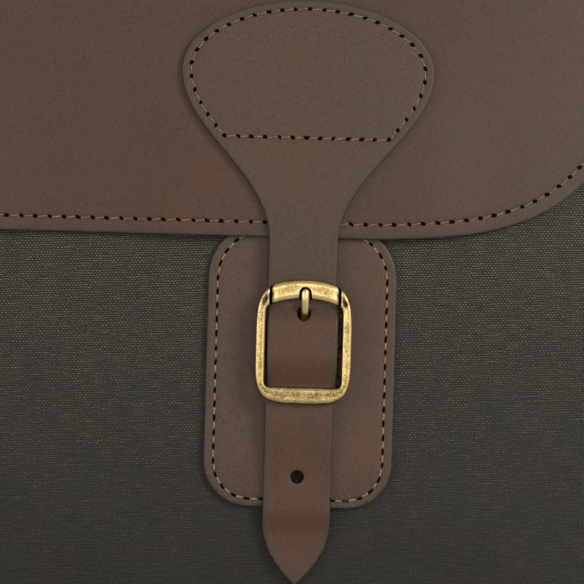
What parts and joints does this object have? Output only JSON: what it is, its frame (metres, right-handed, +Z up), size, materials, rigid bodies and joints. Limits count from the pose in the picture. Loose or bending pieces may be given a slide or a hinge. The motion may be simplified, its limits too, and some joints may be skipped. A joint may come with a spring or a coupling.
{
  "type": "crossbody bag",
  "caption": "Waxed canvas crossbody bag with a leather flap held down by buckled leather straps with bulb-shaped heads, and a leather shoulder strap.",
  "frame": {"origin": "on the ground, under the middle of the bag's flat bottom", "axes": "+Z up, the front with the closing straps faces -Y, +X along the bag's width, to the right of someone facing its front"},
  "size_m": [0.4768, 0.298, 0.2944],
  "materials": {
    "waxed_canvas": "dark olive waxed",
    "flap_leather": "oiled brown pull-up",
    "strap_leather": "oiled brown pull-up",
    "antique_brass": "antiqued, brushed high spots"
  },
  "bodies": {
    "root": {"buckle_frame_left": "antique_brass", "buckle_frame_right": "antique_brass", "canvas_back": "waxed_canvas", "canvas_front": "waxed_canvas", "canvas_gusset": "waxed_canvas", "chape_left": "strap_leather", "chape_right": "strap_leather", "closing_strap_left": "strap_leather", "closing_strap_right": "strap_leather", "flap": "flap_leather", "patch_left": "strap_leather", "patch_right": "strap_leather", "prong_left": "antique_brass", "prong_right": "antique_brass", "ring_left": "antique_brass", "ring_right": "antique_brass", "shoulder_strap": "strap_leather", "tab_left": "strap_leather", "tab_right": "strap_leather"}
  },
  "joints": []
}
